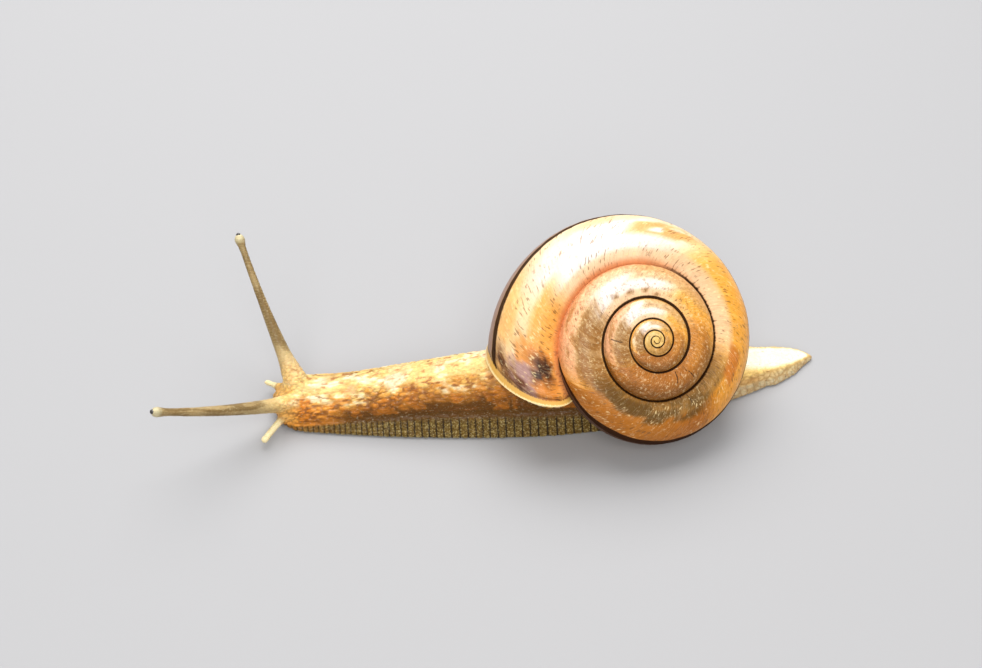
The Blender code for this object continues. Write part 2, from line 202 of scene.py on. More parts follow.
def shell_mesh(per_whorl, upper, lower, grow=0.0, relief=None, lip_steps=()):
    """Points, faces and each corner's (age, angle), from growth rings parallel to the lip."""
    lag = np.array([lip_turn(a, grow) for a in upper + lower])
    lag_top = lip_turn(SUTURE_ANGLE, grow)
    period = 1 - (lip_turn(-3, grow) - lag_top)
    first = list(lip_steps) + list(np.arange(1, int(per_whorl * period)) / per_whorl
                                   + (max(lip_steps) if lip_steps else 0.0))
    first = [0.0] + [a for a in first if a < period - 0.4 / per_whorl]
    back = len(first)
    ages = np.concatenate([np.array(first) + k * period for k in range(8)])
    ages = ages[ages < WHORLS]
    rings = len(ages) - 1
    points, count = [], 0

    def add(rows):
        nonlocal count
        rows = np.asarray(rows).reshape(-1, 3)
        points.append(rows)
        count += len(rows)
        return np.arange(count - len(rows), count)

    def arcs(some, angles, lags):
        turns = some[:, None] + lags[None, :]
        inset = -grow
        if relief is not None:
            inset = relief(np.repeat(some, len(angles)), np.tile(angles, len(some)))
            inset = inset.reshape(turns.shape)
        r, z = whorl_point(turns, np.array(angles)[None, :], inset)
        return add(place(turns, r, z)).reshape(turns.shape)

    r, z = suture_point(ages + lag_top, grow)
    top = add(place(ages + lag_top, r, z))
    side = arcs(ages, upper, lag[:len(upper)])
    base = arcs(ages[:back + 1], lower, lag[len(upper):])
    tip = add(place(0.0, 0.0, grow))[0]
    hollow = add(place(0.0, 0.0, float(whorl_height(0.5)) + 0.05 * RIM_RADIUS - grow))[0]
    faces, corners = [], []

    def quads(grid, age, angle):
        a, b, c, d = grid[:-1, :-1], grid[:-1, 1:], grid[1:, 1:], grid[1:, :-1]
        faces.extend(np.stack([a, b, c, d], -1).reshape(-1, 4).tolist())
        g = np.stack(np.meshgrid(age, angle, indexing="ij"), -1)
        corners.append(np.stack([g[:-1, :-1], g[:-1, 1:], g[1:, 1:], g[1:, :-1]], 2)
                       .reshape(-1, 2))

    def face(ids, where):
        ids = [int(i) for i in ids]
        keep = [k for k, i in enumerate(ids) if i not in ids[:k]]
        faces.append([ids[k] for k in keep])
        corners.append(np.array([where[k] for k in keep], float))

    start = np.concatenate([top[:back + 1, None], side[:back + 1], base], 1)
    quads(start, ages[:back + 1], [SUTURE_ANGLE] + upper + lower)
    rest = np.arange(back, rings + 1)
    later = np.concatenate([top[rest, None], side[rest], top[rest - back, None]], 1)
    quads(later, ages[rest], [SUTURE_ANGLE] + upper + [-4.0])
    for i in range(back):
        face((base[i][-1], hollow, base[i + 1][-1]),
             ((ages[i], lower[-1]), (ages[i], -170), (ages[i + 1], lower[-1])))
    inner = base[back]
    fan = [top[0]] + list(side[0]) + [base[0][0]]
    shut = (-0.02, 60.0)
    for k in range(len(fan) - 1):
        face((fan[k], fan[k + 1], inner[0]), (shut,) * 3)
    lip_edge, wall = list(base[0]) + [hollow], list(inner) + [hollow]
    for k in range(len(lip_edge) - 1):
        face((lip_edge[k], lip_edge[k + 1], wall[k + 1], wall[k]), (shut,) * 4)
    face((side[back][-1], top[0], inner[0]), (shut,) * 3)
    ring_back = top[rings - back:]
    for k in range(len(ring_back) - 1):
        face((ring_back[k], ring_back[k + 1], tip), ((WHORLS, 60.0),) * 3)
    last = [top[rings]] + list(side[rings]) + [top[rings - back]]
    for k in range(len(last) - 1):
        face((last[k], last[k + 1], tip), ((WHORLS, 60.0),) * 3)
    return np.concatenate(points), faces, np.concatenate(corners)


def loft(rings, fan=True):
    """Closed rings of equal length, joined in order and closed at both ends."""
    count = len(rings[0])
    points = [p for ring in rings for p in ring]
    faces = []
    for i in range(len(rings) - 1):
        for j in range(count):
            k = (j + 1) % count
            faces.append((i * count + j, i * count + k, (i + 1) * count + k, (i + 1) * count + j))
    for first in (0, (len(rings) - 1) * count):
        if not fan:
            faces.append(tuple(range(first, first + count)))
            continue
        points.append(np.mean(points[first:first + count], axis=0))
        centre = len(points) - 1
        faces += [(first + j, first + (j + 1) % count, centre) for j in range(count)]
    return points, faces


def mouth_tube(inset, steps, around):
    """The room inside the last half whorl, behind the mouth, with its walls set in."""
    outer = np.linspace(112, -140 + 10 * inset, around)
    inner = np.linspace(-120 + 16 * inset, -20, around // 4)
    rings = []
    for i in range(steps):
        turn = MOUTH_START + i * MOUTH_TURNS / (steps - 1)
        r, z = whorl_point(turn, outer, inset)
        r2, z2 = whorl_point(turn + 1, inner, -inset)
        rings.append(list(place(np.full(len(outer), turn), r, z))
                     + list(place(np.full(len(inner), turn), r2, z2)))
    return loft(rings, fan=False)


def mouth_slab(low, high):
    normal = LIP_TILT / np.linalg.norm(LIP_TILT)
    u = np.cross(normal, [0.0, 1.0, 0.0])
    u /= np.linalg.norm(u)
    v = np.cross(normal, u)
    centre = LIP_POINT + np.array([10.0, 8.0, -2.8])
    rings = [[centre + 60 * (a * u + b * v) + h * normal
              for a, b in ((-1, -1), (1, -1), (1, 1), (-1, 1))] for h in (low, high)]
    return loft(rings)


# ======== the body's form
BODY_LENGTH, SNOUT = 77.0, np.array([-29.9, -14.85])
FRONT_ROUND, FRONT_HEIGHT = 4.2, 1.9    # how far back the front is rounded, and its height
LEAN_START = 69.0                       # where the tail starts to lean to the far side
HEADING_FRONT, TAIL_SWING = 1.7, 12.8   # in degrees
BEND_START, BEND_LENGTH = 31.0, 24.0    # the stretch over which the tail swings
STATIONS = np.array([  # along, half sole, half back, height, skirt height
    (0.0, 4.1, 3.7, 4.2, 0.9), (4.0, 4.5, 4.0, 4.6, 1.2), (10.0, 5.2, 3.9, 4.9, 1.8),
    (18.0, 5.9, 4.2, 6.5, 2.6), (30.0, 6.4, 4.6, 9.1, 3.2), (42.0, 6.3, 4.9, 10.4, 3.2),
    (54.0, 6.0, 4.7, 6.6, 2.7), (64.0, 4.8, 3.7, 3.6, 1.9), (71.0, 3.1, 2.3, 2.2, 1.1),
    (77.0, 0.9, 0.6, 0.9, 0.4)])
# each feeler's ends, its bow between them, its radii at the root, tip and knob, how much and how
# far its root flares, and how fast it thins towards the tip
UPPER_RIGHT = dict(root=(-26.6, -13.6, 3.5), tip=(-34.6, 0.0, 19.4), bow=(-0.25, 0.0, -0.3),
                   root_r=1.38, tip_r=0.5, knob_r=0.76, flare=0.45, reach=3.4, fall=2.2)
UPPER_LEFT = dict(root=(-27.2, -16.5, 3.2), tip=(-42.9, -26.8, 12.9), bow=(0.0, -0.2, -0.4),
                  root_r=1.15, tip_r=0.52, knob_r=0.72, flare=0.2, reach=2.6, fall=1.4)
LOWER_RIGHT = dict(root=(-28.8, -13.0, 2.2), tip=(-31.7, -11.1, 1.7), bow=(0.0, 0.0, 0.1),
                   root_r=0.52, tip_r=0.42, knob_r=0.48, flare=0.35, reach=1.1, fall=1.1)
LOWER_LEFT = dict(root=(-27.8, -17.2, 2.0), tip=(-30.8, -21.9, 1.2), bow=(0.0, 0.0, 0.15),
                  root_r=0.62, tip_r=0.46, knob_r=0.56, flare=0.35, reach=1.2, fall=1.1)
FEELERS = (UPPER_RIGHT, UPPER_LEFT, LOWER_RIGHT, LOWER_LEFT)
EYE_RADIUS, EYE_DEPTH = 0.3276, 0.24    # the eye, and how far its centre lies behind the tip
TAIL_ROUND, TAIL_END = 75.0, 77.2       # where the tail starts to round off, and its tip


def blend(along, column):
    """Smooth interpolation of a body size between its stations."""
    xs, ys = STATIONS[:, 0], STATIONS[:, column]
    along = np.clip(along, xs[0], xs[-1])
    slopes = np.diff(ys) / np.diff(xs)
    ends = np.concatenate([[slopes[0]], (slopes[1:] + slopes[:-1]) / 2, [slopes[-1]]])
    i = np.clip(np.searchsorted(xs, along, side="right") - 1, 0, len(xs) - 2)
    h = xs[i + 1] - xs[i]
    t = (along - xs[i]) / h
    return ((2 * t ** 3 - 3 * t ** 2 + 1) * ys[i] + (t ** 3 - 2 * t ** 2 + t) * h * ends[i]
            + (3 * t ** 2 - 2 * t ** 3) * ys[i + 1] + (t ** 3 - t ** 2) * h * ends[i + 1])


def heading(along):
    t = np.clip((np.asarray(along, float) - BEND_START) / BEND_LENGTH, 0.0, 1.0)
    return np.radians(HEADING_FRONT + TAIL_SWING * t * t * (3 - 2 * t))


LINE_S = np.arange(-3.0, BODY_LENGTH + 3.01, 0.1)
LINE_TURN = heading(LINE_S + 0.05)
LINE = SNOUT + 0.1 * np.cumsum(np.stack([np.cos(LINE_TURN), np.sin(LINE_TURN)], 1), 0)


def middle(along):
    """The point or points of the body's middle line, seen from above."""
    return np.stack([np.interp(along, LINE_S, LINE[:, k]) for k in (0, 1)], -1)


LINE -= middle(0.0) - SNOUT


def body_ring(along):
    """Section of the body: flat sole, flaring skirt, groove above it and rounded back."""
    front = max(1 - max(along, 0.0) / FRONT_ROUND, 0.0)
    round_off = max(1 - front ** 2, 0.0) ** 0.5
    close = 0.16 + 0.84 * round_off
    sole, dome = float(blend(along, 1)) * close, float(blend(along, 2)) * close
    height = FRONT_HEIGHT + (float(blend(along, 3)) - FRONT_HEIGHT) * (0.1 + 0.9 * round_off)
    skirt = min(float(blend(along, 4)), 0.6 * height)
    lift = 0.9 * front ** 2
    far = near = 1.0
    if along > LEAN_START:
        far = 1 + 0.55 * float(smooth(along, LEAN_START, 76.0))
        near = 1 + 0.12 * float(window(along, 70.0, 73.5, 1.5))
        near -= 0.22 * float(smooth(along, 73.0, 76.5))
    if along > TAIL_ROUND:
        end = math.sqrt(max(1 - ((along - TAIL_ROUND) / (TAIL_END - TAIL_ROUND)) ** 2, 0.0))
        sole, dome = sole * end, dome * end
        height, skirt = 0.25 + (height - 0.25) * (0.25 + 0.75 * end), skirt * (0.3 + 0.7 * end)
    groove = min(0.3, 0.15 * skirt)
    half = [(sole * 0.5, lift), (sole * 0.94, lift), (sole, lift + min(0.28, 0.3 * skirt))]
    half.append(((sole + dome) / 2 + 0.12, lift + 0.55 * skirt))
    half.append((dome + min(0.25, 0.1 * dome), lift + skirt))
    half.append((dome - 0.08, lift + skirt + groove))
    for k in range(1, 15):
        a = math.radians(90 * k / 14)
        y = dome * math.cos(a) ** 0.86 if k < 14 else 0.0
        half.append((y, lift + skirt + groove
                     + (height - skirt - groove - lift) * math.sin(a) ** 0.93))
    loop = [(y * near, z) for y, z in half] + [(-y * far, z) for y, z in half[-2::-1]]
    centre, h = middle(along), float(heading(along))
    return [np.array([*(centre + y * np.array([math.sin(h), -math.cos(h)])), z]) for y, z in loop]


def feeler_line(feeler, t):
    root, tip, bow = (np.array(feeler[k], float) for k in ("root", "tip", "bow"))
    t = np.asarray(t, float)[..., None]
    return root + (tip - root) * t + bow * 4 * t * (1 - t)


def feeler_tube(feeler, sides=20):
    """A feeler with a rounded knob, swelling where it leaves the head."""
    root, tip = np.array(feeler["root"], float), np.array(feeler["tip"], float)
    total = np.linalg.norm(tip - root)
    knob = feeler["knob_r"] / total
    stops = list(np.arange(0, 1 - 2.2 * knob, 0.35 / total))
    stops += [1 - k * knob for k in (1.9, 1.6, 1.35, 1.1, 0.85, 0.6, 0.4, 0.22, 0.1, 0.03)]
    rings = []
    for t in stops:
        ahead = feeler_line(feeler, min(t + 0.01, 1)) - feeler_line(feeler, t - 0.01)
        ahead /= np.linalg.norm(ahead)
        u = np.cross(ahead, [0.0, 0.0, 1.0])
        u /= np.linalg.norm(u)
        v = np.cross(ahead, u)
        r = feeler["tip_r"] + (feeler["root_r"] - feeler["tip_r"]) * (1 - t) ** feeler["fall"]
        r += (feeler["knob_r"] - feeler["tip_r"]) * math.exp(-((t - 0.965) * total / 0.8) ** 2)
        r += feeler["flare"] * math.exp(-(t * total / feeler["reach"]) ** 2)
        near = (1 - t) / knob
        if near < 1:
            r *= math.sqrt(max(1 - (1 - near) ** 2, 0.02))
        centre = feeler_line(feeler, t)
        rings.append([centre + r * (math.cos(a) * u + math.sin(a) * v)
                      for a in (2 * math.pi * k / sides for k in range(sides))])
    return loft(rings)


def ball(centre, radius, segments, rows):
    rings = []
    for i in range(1, rows):
        a = math.pi * i / rows
        rings.append([centre + radius * np.array(
            [math.sin(a) * math.cos(b), math.sin(a) * math.sin(b), math.cos(a)])
            for b in (2 * math.pi * k / segments for k in range(segments))])
    points, faces = loft(rings)
    points[-2] = centre + np.array([0, 0, radius])
    points[-1] = centre - np.array([0, 0, radius])
    return points, faces


# ======== mesh helpers
def put_in_scene(name, data):
    obj = bpy.data.objects.new(name, data)
    SCENE.collection.objects.link(obj)
    return obj


def mesh_object(name, points, faces, uv=None):
    """A mesh with its faces turned outwards, and an optional map of each face corner."""
    mesh = bpy.data.meshes.new(name)
    mesh.from_pydata(np.asarray(points, float).tolist(), [], [list(map(int, f)) for f in faces])
    if uv is not None:
        layer = mesh.uv_layers.new(name="growth")
        layer.data.foreach_set("uv", np.asarray(uv, np.float32).ravel())
    bm = bmesh.new()
    bm.from_mesh(mesh)
    bmesh.ops.recalc_face_normals(bm, faces=bm.faces)
    bm.to_mesh(mesh)
    bm.free()
    return put_in_scene(name, mesh)


def combine(obj, other, operation):
    """Cuts a mesh by another, which is used up."""
    modifier = obj.modifiers.new("cut", "BOOLEAN")
    modifier.operation, modifier.solver, modifier.object = operation, "EXACT", other
    modifier.material_mode = "TRANSFER"
    apply_modifiers(obj)
    bpy.data.objects.remove(other, do_unlink=True)


def apply_modifiers(obj):
    graph = bpy.context.evaluated_depsgraph_get()
    mesh = bpy.data.meshes.new_from_object(obj.evaluated_get(graph))
    obj.modifiers.clear()
    obj.data = mesh


def read(rows, name, width=3, kind=float):
    """One property of all the rows of a mesh's list, as an array."""
    values = np.empty(len(rows) * width, kind)
    rows.foreach_get(name, values)
    return values.reshape(-1, width)


def set_coords(mesh, co):
    mesh.vertices.foreach_set("co", co.ravel())
    mesh.update()


def to_frame(obj):
    """From millimetres in the modelling axes to metres in the frame."""
    set_coords(obj.data, (read(obj.data.vertices, "co") - ORIGIN) * MM)


def put(mesh, name, values, kind="FLOAT", domain="POINT"):
    attribute = mesh.attributes.new(name, kind, domain)
    if kind == "FLOAT":
        attribute.data.foreach_set("value", np.asarray(values, np.float32).ravel())
    else:
        rows = np.ones((len(values), 4), np.float32)
        rows[:, :3] = linear(np.clip(values, 0, 255))
        attribute.data.foreach_set("color", rows.ravel())


def mouth_piece(name, wall, reach, steps, around):
    """A piece of the room behind the mouth, between two planes parallel to the lip."""
    piece = mesh_object(name, *mouth_tube(wall, steps, around))
    combine(piece, mesh_object("slab", *mouth_slab(*reach)), "INTERSECT")
    return piece


# ======== material helpers
class Nodes:
    """Short calls for building a node tree."""

    def __init__(self, name):
        self.material = bpy.data.materials.new(name)
        self.material.use_nodes = True
        self.tree = self.material.node_tree
        self.shader = self.tree.nodes["Principled BSDF"]

    def node(self, kind, inputs=None, **settings):
        n = self.tree.nodes.new(kind)
        for key, value in settings.items():
            setattr(n, key, value)
        for key, value in (inputs or {}).items():
            self.feed(n.inputs[key], value)
        return n

    def feed(self, socket, value):
        if isinstance(value, bpy.types.NodeSocket):
            self.tree.links.new(value, socket)
        elif hasattr(value, "__len__") and len(value) < len(socket.default_value):
            socket.default_value = (*value, 1.0)
        else:
            socket.default_value = value

    def set(self, **values):
        for key, value in values.items():
            self.feed(self.shader.inputs[key.replace("_", " ")], value)

    def attribute(self, name, output="Fac"):
        return self.node("ShaderNodeAttribute", attribute_name=name).outputs[output]

    def math(self, operation, *values):
        return self.node("ShaderNodeMath", dict(enumerate(values)), operation=operation).outputs[0]

    def times(self, a, b):
        return self.math("MULTIPLY", a, b)

    def plus(self, a, b):
        return self.math("ADD", a, b)

    def minus(self, a, b):
        return self.math("SUBTRACT", a, b)

    def scaled(self, a, factor, offset):
        return self.math("MULTIPLY_ADD", a, factor, offset)

    def position(self):
        return self.node("ShaderNodeNewGeometry").outputs["Position"]

    def step(self, x, low, high):
        """0 at low and 1 at high, smooth between."""
        return self.node("ShaderNodeMapRange", {0: x, 1: low, 2: high},
                         interpolation_type="SMOOTHSTEP").outputs[0]

    def noise(self, vector, scale=1.0, detail=2.0, rough=0.5):
        return self.node("ShaderNodeTexNoise", {"Vector": vector, "Scale": scale, "Detail": detail,
                                                "Roughness": rough}).outputs["Fac"]

    def vector(self, x, y, z):
        return self.node("ShaderNodeCombineXYZ", {0: x, 1: y, 2: z}).outputs[0]

    def mix(self, amount, a, b):
        return self.node("ShaderNodeMix", {0: amount, 6: a, 7: b}, data_type="RGBA").outputs[2]

    def bump(self, height, distance, strength=1.0):
        return self.node("ShaderNodeBump", {"Height": height, "Distance": distance,
                                            "Strength": strength}).outputs[0]


# ======== the shell
# depths in millimetres: the growth lines, the wall's clearance, and the lip's flare and groove
FINE_LINES, WIDE_LINES, CLEARANCE, LIP_FLARE, LIP_GROOVE = 0.05, 0.07, 0.1, 0.26, 0.16


def growth_relief(age, angle):
    """How far the wall lies under its outermost surface, in millimetres."""
    fine = noise(np.stack([age * 150, angle / 45], 1), 3)
    wide = noise(np.stack([age * 34, angle / 70], 1), 5)
    fade = window(angle, 6, 100, 18) * 0.85 + 0.15
    size = whorl_radius(age) / RIM_RADIUS
    inset = (FINE_LINES * fine + WIDE_LINES * wide) * fade * (0.35 + 0.65 * size)
    flare = np.exp(-np.maximum(age, 0) / 0.0035) * window(angle, -140, 104, 14)
    groove = LIP_GROOVE * bell(age, 0.0095, 0.004) * fade
    return inset + CLEARANCE - LIP_FLARE * flare + groove


def shell_tint(age, angle):
    """The shell's broad colours, with painted highlight and shade on every whorl, by growth age,
    in turns from the lip, and section angle.
    """
    wave = fbm(np.stack([age * 16, angle / 40], 1), 21)
    patch = fbm(np.stack([age * 30 + 5, angle / 18], 1), 31)
    streak = fbm(np.stack([age * 120, angle / 40], 1), 41)
    ragged = fbm(np.stack([age * 95, angle / 7], 1), 51)
    spire = smooth(age, 0.93, 1.02)
    phase = np.mod(age + 0.03, 1.0) - 0.03
    c = np.tile(np.array([228.0, 157, 62]), (len(age), 1))

    def paint(colour, amount):
        nonlocal c
        c = lay(c, colour, amount)

    def zone(colour, a0, a1, soft, low, high, edge, amount, of=phase):
        paint(colour, window(of, a0, a1, soft) * window(angle, low, high, edge) * amount)

    # every whorl alike on the same side of the shell: pale to white towards the light, partly pale
    # shell and partly painted highlight, and golden brown to dark on the lower right, partly the
    # shell's colour and partly painted shade
    zone((250, 225, 192), 0.05, 0.41, 0.08, 22, 104, 20, 0.55 + 0.5 * wave)
    # near-white over the crown of every whorl: painted highlight
    zone((255, 243, 238), 0.18, 0.33, 0.07, 50, 102, 18, 0.85)
    zone((255, 236, 224), 0.27, 0.4, 0.05, 68, 108, 12, 0.65)
    # golden brown to dark on the lower right of every whorl: partly the shell's colour, partly
    # painted shade
    zone((160, 90, 12), 0.67, 0.95, 0.09, -10, 112, 20, 0.6 + 0.45 * wave)
    zone((240, 166, 60), 0.44, 0.66, 0.07, 0, 96, 20, 0.8)
    zone((248, 190, 124), 0.1, 0.52, 0.06, 98, 122, 8, 0.55)
    # the last whorl alone, by its age
    last = age
    zone((240, 160, 66), -0.1, 0.14, 0.06, 78, 124, 14, 0.9, last)
    zone((242, 178, 96), -0.1, 0.1, 0.05, 8, 40, 16, smooth(patch, 0.35, 0.6) * 0.8, last)
    zone((248, 214, 188), 0.04, 0.22, 0.05, 44, 66, 12, smooth(wave, 0.42, 0.6) * 0.8, last)
    zone((234, 192, 150), 0.42, 0.58, 0.08, 90, 124, 10, 0.85, last)
    zone((214, 146, 66), 0.31, 0.37, 0.03, 44, 64, 12, smooth(patch, 0.46, 0.6) * 0.8, last)
    zone((134, 98, 44), 0.66, 0.97, 0.07, 88, 112, 8, 0.5 + 0.5 * wave, last)
    zone((82, 56, 12), 0.75, 0.97, 0.06, 76, 102, 10, smooth(patch, 0.36, 0.56) * 0.8, last)
    zone((92, 66, 22), 0.7, 0.97, 0.06, 78, 108, 8, smooth(ragged, 0.55, 0.66) * 0.5, last)
    zone((178, 96, 32), 0.605, 0.645, 0.02, 68, 84, 8, 0.7, last)
    # dark blotches and a greyish pink patch just behind the lip
    ages, angles = age + 0.026 * (ragged - 0.5), angle + 26 * (ragged - 0.5)
    paint((212, 124, 44), window(ages, 0.012, 0.072, 0.02) * window(angles, 62, 98, 16) * 0.7)
    paint((178, 140, 136), window(ages, 0.01, 0.044, 0.006) * window(angles, 50, 72, 7) * 0.95)
    paint((52, 22, 8), 1.5 * bell(ages, 0.052, 0.017) * bell(angles, 89, 13))
    paint((66, 26, 8), 1.3 * bell(ages, 0.026, 0.012) * bell(angles, 32, 12))
    paint((86, 40, 16), 0.9 * bell(ages, 0.015, 0.005) * bell(angles, 50, 14))
    # the whorls before it: pink along its lower side, brown streaks towards its seam
    zone((232, 164, 120), 0.0, 0.42, 0.08, -8, 42, 18, spire * (age < 2.2) * 0.85)
    zone((196, 148, 88), 0.29, 0.46, 0.05, 14, 62, 14, spire * 0.7)
    zone((126, 76, 20), -0.04, 0.14, 0.06, 62, 106, 14, spire * (0.2 + 0.9 * streak))
    zone((150, 96, 38), 0.0, 0.09, 0.05, 20, 70, 14, spire * smooth(patch, 0.45, 0.6) * 0.6)
    zone((112, 66, 14), 0.6, 0.86, 0.07, 10, 66, 14, spire * (0.25 + 0.8 * streak))
    zone((166, 98, 30), 0.57, 0.92, 0.08, 60, 114, 14, spire * 0.6)
    for turn, spot in ((1.228, 90), (1.273, 96), (1.325, 99), (1.366, 108)):
        paint((120, 72, 24), 0.8 * bell(age, turn, 0.009) * bell(angle, spot, 5))
    paint((240, 200, 116), smooth(age, 3.2, 4.4) * 0.85)
    # just below the periphery the shell is dull pinkish brown, and its base is tan
    paint((166, 118, 84), below(angle, -12, 2) * (1 - spire) * 0.92)
    paint((206, 158, 96), below(angle, -36, -10) * (0.7 + 0.3 * wave))
    paint((168, 112, 58), below(angle, -36, -16) * smooth(streak, 0.42, 0.62) * 0.45)
    paint((226, 190, 136), below(angle, -36, -16) * smooth(1 - streak, 0.5, 0.7) * 0.4)
    paint((120, 74, 38), below(angle, -158, -118) * 0.85)
    return c * (0.93 + 0.14 * streak)[:, None]


CRACKS = (  # age and angle of each end, half width in turns
    (1.748, 70, 1.757, 106, 0.003), (1.7, 82, 1.674, 50, 0.0022),
    (1.712, 98, 1.706, 84, 0.0018), (0.752, 96, 0.757, 114, 0.0012),
    (1.56, 30, 1.548, 62, 0.0014), (2.06, 40, 2.085, 88, 0.003))


def shell_material():
    m = Nodes("shell_wet_ceramic")
    uv = m.node("ShaderNodeUVMap", uv_map="growth").outputs[0]
    split = m.node("ShaderNodeSeparateXYZ", {0: uv})
    age, angle = split.outputs[0], m.times(split.outputs[1], 360.0)
    colour = m.attribute("tint", "Color")
    position = m.position()

    def grown(along, across, seed):
        return m.vector(m.times(age, along), m.math("DIVIDE", angle, across), seed)

    def paint(where, share, over):
        nonlocal colour
        colour = m.mix(m.times(where, share), colour, over)

    # pale and dark strokes that run with the growth lines
    fine = m.noise(grown(520, 22, 1.0), detail=3, rough=0.6)
    strokes = m.noise(grown(290, 12, 7.0), detail=1)
    clump = m.noise(grown(14, 22, 3.0))
    speck = m.noise(grown(210, 9, 12.0), rough=0.6)
    grain = m.noise(position, scale=2300.0, detail=3, rough=0.65)
    spire = m.step(age, 0.94, 1.04)
    amount = m.scaled(spire, 0.1, 0.12)
    paint(m.step(fine, 0.42, 0.7), amount, (0.2, 0.08, 0.02))
    paint(m.step(fine, 0.5, 0.3), amount, (1.0, 0.8, 0.5))
    where = m.minus(clump, m.times(spire, 0.06))
    paint(m.times(m.step(strokes, 0.58, 0.65), m.step(where, 0.46, 0.54)), 0.62,
          (0.13, 0.055, 0.015))
    paint(m.times(m.step(speck, 0.57, 0.66), m.step(clump, 0.54, 0.42)), 0.5, (1.0, 0.76, 0.38))
    # grains, stronger on the spire
    paint(m.step(grain, 0.53, 0.66), m.scaled(spire, 0.3, 0.16), (0.2, 0.09, 0.02))
    paint(m.step(grain, 0.44, 0.34), m.scaled(spire, 0.2, 0.12), (1.0, 0.8, 0.46))
    # fine cracks across the growth lines
    for a0, v0, a1, v1, wide in CRACKS:
        share = m.math("DIVIDE", m.minus(angle, v0), v1 - v0)
        off = m.minus(age, m.scaled(share, a1 - a0, a0))
        off = m.plus(off, m.times(m.minus(strokes, 0.5), 0.006))
        near = m.step(m.math("ABSOLUTE", off), wide, wide * 0.4)
        ends = m.times(m.step(share, -0.04, 0.04), m.step(share, 1.04, 0.96))
        paint(m.times(near, ends), 0.85, (0.03, 0.012, 0.006))
    # the band round the periphery, which slips under the seam on the inner whorls
    waver = m.times(m.minus(m.noise(grown(60, 60, 20.0)), 0.5), 2.0)
    sink = m.times(m.step(age, 0.93, 1.02), 30.0)
    lean = m.plus(m.plus(angle, waver), sink)
    wider = m.times(m.step(age, 0.3, 0.48), m.step(age, 0.93, 0.85))
    high = m.minus(lean, m.times(wider, 11.0))
    band = m.times(m.step(high, 21.0, 18.0), m.step(lean, 6.5, 9.5))
    brown = m.mix(strokes, (0.24, 0.125, 0.08), (0.38, 0.22, 0.145))
    paint(m.step(lean, 10.0, 6.0), m.step(angle, -26, -6), brown)
    # darker just under the band round the lower right of the last whorl: partly the base's colour,
    # partly painted shade
    low = m.times(m.step(lean, 11.0, 8.0), m.step(angle, -20, -3))
    under = m.times(m.times(m.step(age, 0.5, 0.62), m.step(age, 1.02, 0.92)), low)
    paint(under, 0.85, (0.06, 0.024, 0.012))
    paint(band, 0.96, (0.02, 0.007, 0.004))
    # the seam: soft red round the first half turn, then thin and dark
    young = m.step(age, 0.46, 0.34)
    paint(m.times(m.step(angle, 104, 116), young), 0.55, (0.6, 0.2, 0.1))
    frayed = m.plus(m.times(m.minus(strokes, 0.5), 2.0), angle)
    shift = m.scaled(m.step(age, 0.85, 1.1), 2.4, frayed)
    shift = m.scaled(m.step(age, 1.8, 4.2), 7.0, shift)
    line = m.times(m.step(shift, 113.6, 115.4), m.minus(1.0, young))
    paint(line, 0.97, (0.014, 0.005, 0.002))
    # cream rim of the lip, with a dark line behind it
    ragged = m.noise(m.vector(m.times(angle, 0.5), 0.0, 9.0), detail=1)
    worn = m.plus(age, m.times(m.minus(ragged, 0.5), 0.006))
    behind = m.times(m.step(worn, 0.0078, 0.0092), m.step(worn, 0.0165, 0.011))
    paint(behind, m.scaled(strokes, 1.5, -0.15), (0.055, 0.02, 0.008))
    rim = m.mix(m.step(worn, 0.003, 0.0012), (0.62, 0.35, 0.08), (0.74, 0.57, 0.27))
    m.set(Base_Color=m.mix(m.step(worn, 0.009, 0.0074), colour, rim))
    # relief finer than the mesh
    lines = m.noise(grown(520, 60, 4.0), rough=0.6)
    height = m.scaled(grain, 0.4, m.scaled(strokes, 0.5, lines))
    m.set(Normal=m.bump(height, 0.00005, 0.85))
    rough = m.scaled(m.noise(position, scale=160.0), 0.22, 0.26)
    dull = m.math("MAXIMUM", line, m.math("MAXIMUM", band, m.times(under, 0.7)))
    m.set(Roughness=m.scaled(dull, 0.3, rough))
    m.set(Specular_IOR_Level=m.scaled(dull, -0.16, 0.19))
    m.set(Coat_Weight=m.scaled(dull, -0.11, 0.12), Coat_Roughness=0.12)
    return m.material


def mouth_material():
    m = Nodes("shell_mouth")
    position = m.position()
    mottle = m.noise(position, scale=500.0, detail=3)
    m.set(Base_Color=m.mix(m.step(mottle, 0.3, 0.7), (0.62, 0.38, 0.22), (0.8, 0.58, 0.36)))
    m.set(Roughness=m.scaled(mottle, 0.2, 0.15))
    m.set(Normal=m.bump(m.noise(position, scale=1800.0), 0.00003))
    m.set(Coat_Weight=0.5, Coat_Roughness=0.08)
    return m.material


RINGS_PER_WHORL = 360
LIP_STEPS = (0.0007, 0.0014, 0.0022, 0.0032, 0.0044, 0.0058, 0.0075, 0.0095, 0.0118)
UPPER = [114, 110] + list(range(106, 0, -5)) + [0]
LOWER = [-3, -6, -10, -15, -21] + list(range(-28, -150, -8)) + [UMBILICUS_ANGLE]
points, faces, corner = shell_mesh(RINGS_PER_WHORL, UPPER, LOWER, relief=growth_relief,
                                   lip_steps=LIP_STEPS)
shell = mesh_object("shell_whorls", points, faces, corner / np.array([1.0, 360.0]))
shell.data.materials.append(shell_material())
recess = mouth_piece("recess", RECESS_WALL, RECESS_REACH, steps=60, around=48)
recess.data.materials.clear()
recess.data.materials.append(mouth_material())
combine(shell, recess, "DIFFERENCE")
corner = read(shell.data.uv_layers["growth"].data, "uv", 2, np.float32).astype(float)
put(shell.data, "tint", shell_tint(corner[:, 0], corner[:, 1] * 360), "FLOAT_COLOR", "CORNER")
to_frame(shell)
shell.data.shade_smooth()
shell.data.set_sharp_from_angle(angle=math.radians(38))
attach(shell, "root")
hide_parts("shell")


